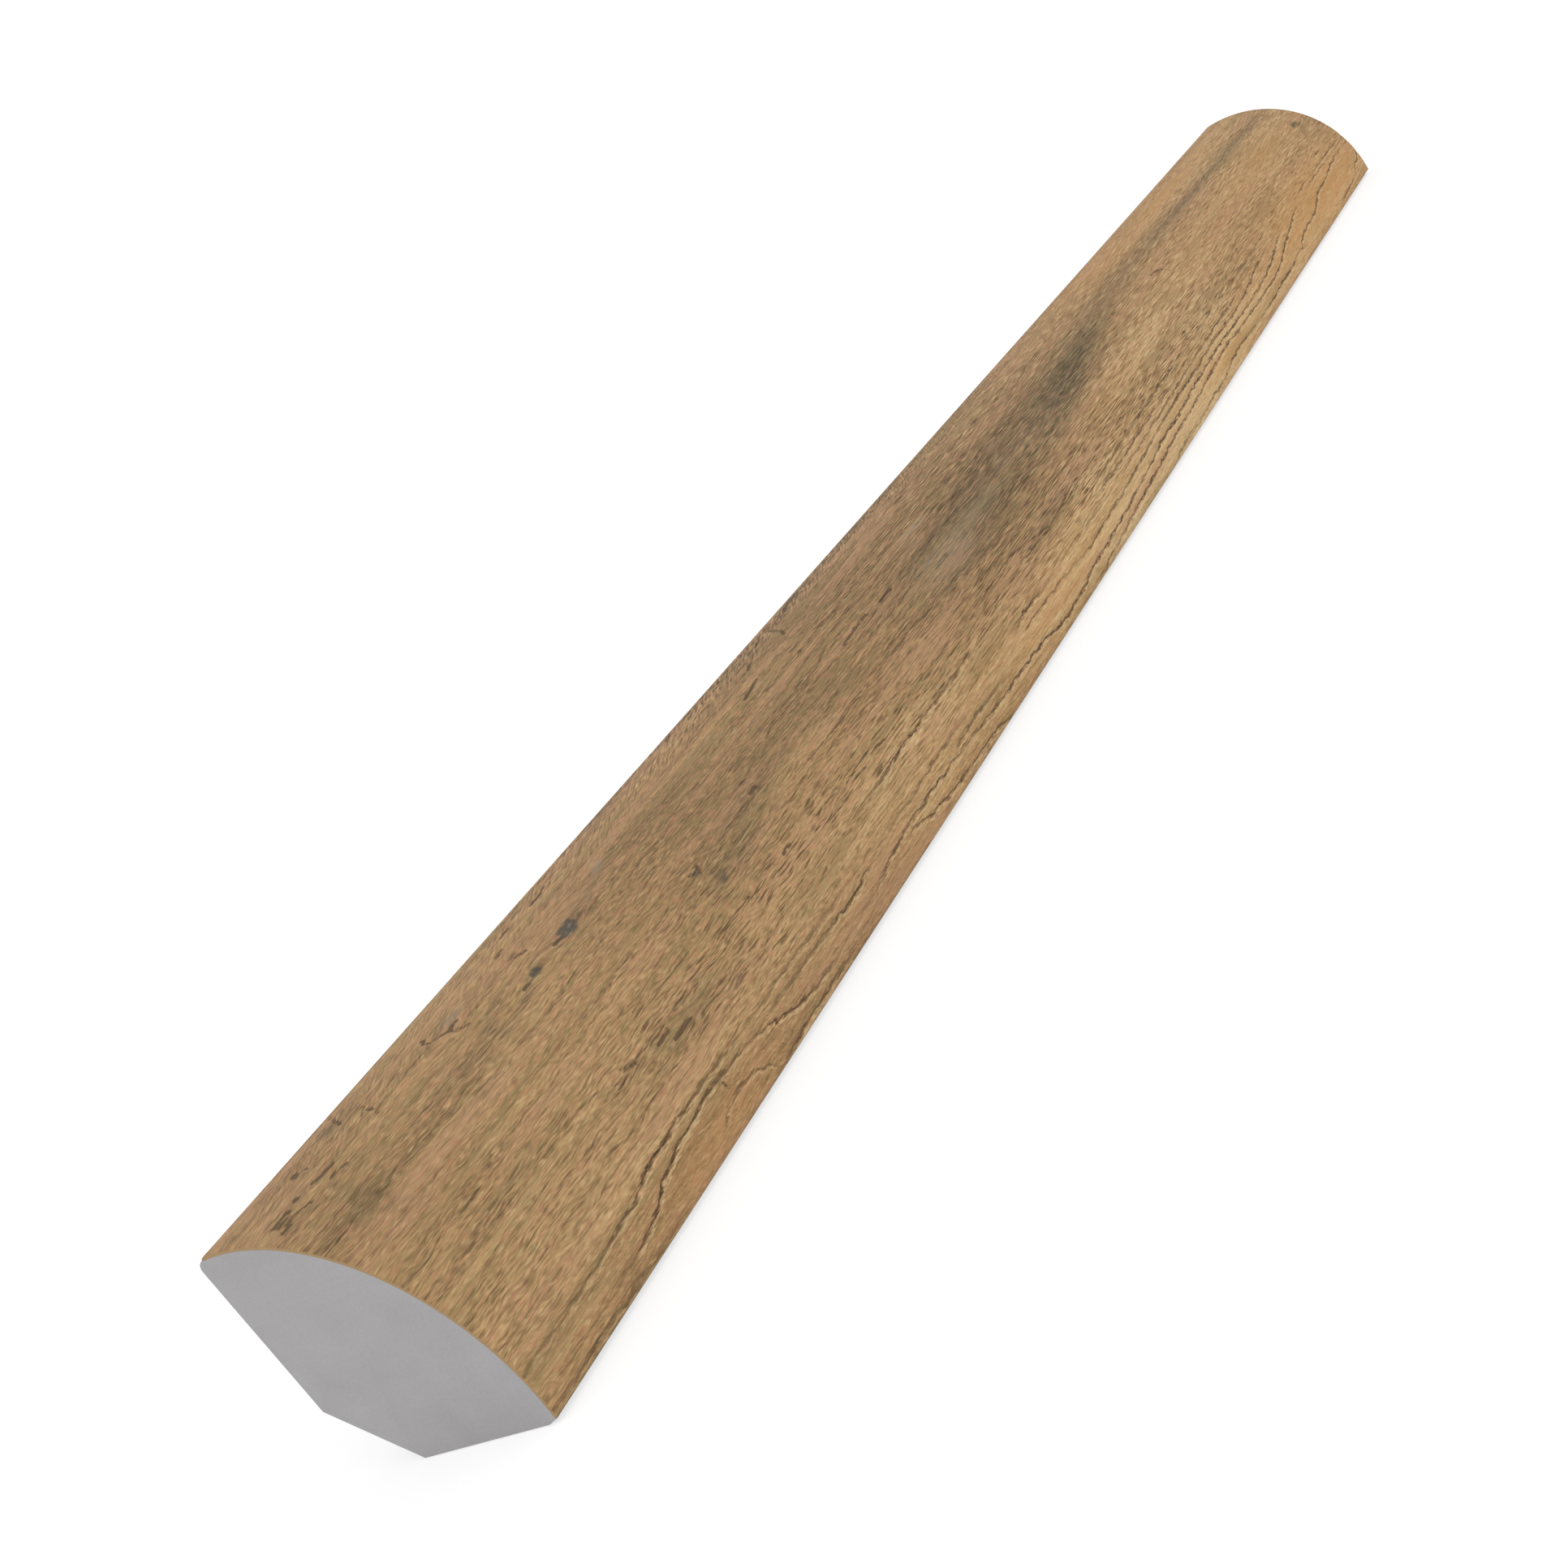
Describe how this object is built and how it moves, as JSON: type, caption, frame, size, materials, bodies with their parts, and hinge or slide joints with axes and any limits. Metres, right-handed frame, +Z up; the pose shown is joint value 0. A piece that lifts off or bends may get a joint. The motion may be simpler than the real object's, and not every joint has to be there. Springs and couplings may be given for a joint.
{
  "type": "quarter round moulding",
  "caption": "Square-cut length of quarter round trim: a grey plastic core, flat to the wall and to the floor, with a printed wood-grain film on its round face; covers a floor joint.",
  "frame": {"origin": "middle of the bottom of the part, on the floor plane", "axes": "+X along the length, +Y towards the wall, +Z up from the floor"},
  "size_m": [0.264, 0.019, 0.0191],
  "materials": {
    "grey_core": "matte",
    "wood_grain_print": "satin"
  },
  "bodies": {
    "root": {"core": "grey_core", "wood_grain_film": "wood_grain_print"}
  },
  "joints": []
}
